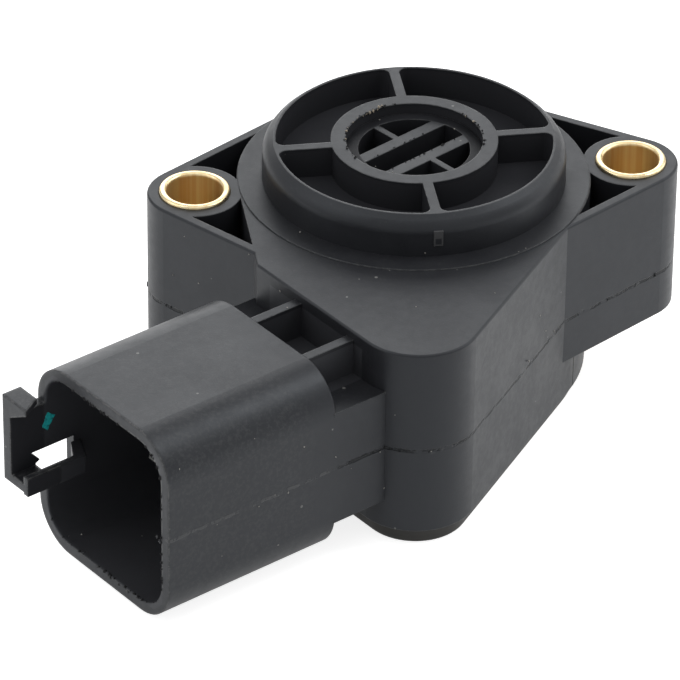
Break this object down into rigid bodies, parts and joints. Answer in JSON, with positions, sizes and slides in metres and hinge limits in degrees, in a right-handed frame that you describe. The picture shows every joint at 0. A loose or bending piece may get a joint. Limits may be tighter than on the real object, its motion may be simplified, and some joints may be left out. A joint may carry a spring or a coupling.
{
  "type": "accelerator pedal sensor",
  "caption": "Rotary accelerator pedal sensor: sleeved mounting ears, slotted drive rotor in a spoked pilot ring, and a shrouded side connector with a latch frame.",
  "frame": {"origin": "on the rotor axis, midway between the mounting holes, in the plane of the ears' upper faces", "axes": "+Z along the rotor axis out of the pilot ring, +X along the line of the mounting holes, nose towards -Y"},
  "size_m": [0.0836, 0.0729, 0.0315],
  "materials": {
    "housing_plastic": "fine-grained satin black",
    "cover_plastic": "satin black",
    "rotor_plastic": "satin black",
    "washer_plastic": "natural white",
    "seal_rubber": "matt black",
    "sleeve_brass": "turned",
    "contact_brass": "stamped",
    "spring_steel": "bright",
    "terminal_tin": "tinned",
    "board_laminate": "green laminate with dark tracks"
  },
  "bodies": {
    "housing": {"housing": "housing_plastic", "bottom_cover": "cover_plastic", "cover_gasket": "seal_rubber", "mounting_sleeve_left": "sleeve_brass", "mounting_sleeve_right": "sleeve_brass", "thrust_washer": "washer_plastic", "return_spring": "spring_steel", "resistor_board": "board_laminate", "terminal_1": "terminal_tin", "terminal_2": "terminal_tin", "terminal_3": "terminal_tin", "terminal_4": "terminal_tin", "terminal_5": "terminal_tin", "terminal_6": "terminal_tin"},
    "rotor": {"drive_rotor": "rotor_plastic", "rotor_seal": "seal_rubber", "wiper_carrier": "washer_plastic", "carrier_clip": "spring_steel", "position_wiper": "contact_brass", "idle_wiper": "contact_brass"}
  },
  "joints": [
    {"name": "rotor_turn", "type": "hinge", "parent": "housing", "child": "rotor", "pos_m": [0, 0, 0], "axis": [0, 0, 1], "range_deg": [0, 70], "stiffness_Nm_per_rad": 0.05, "springref_deg": -22.92}
  ]
}
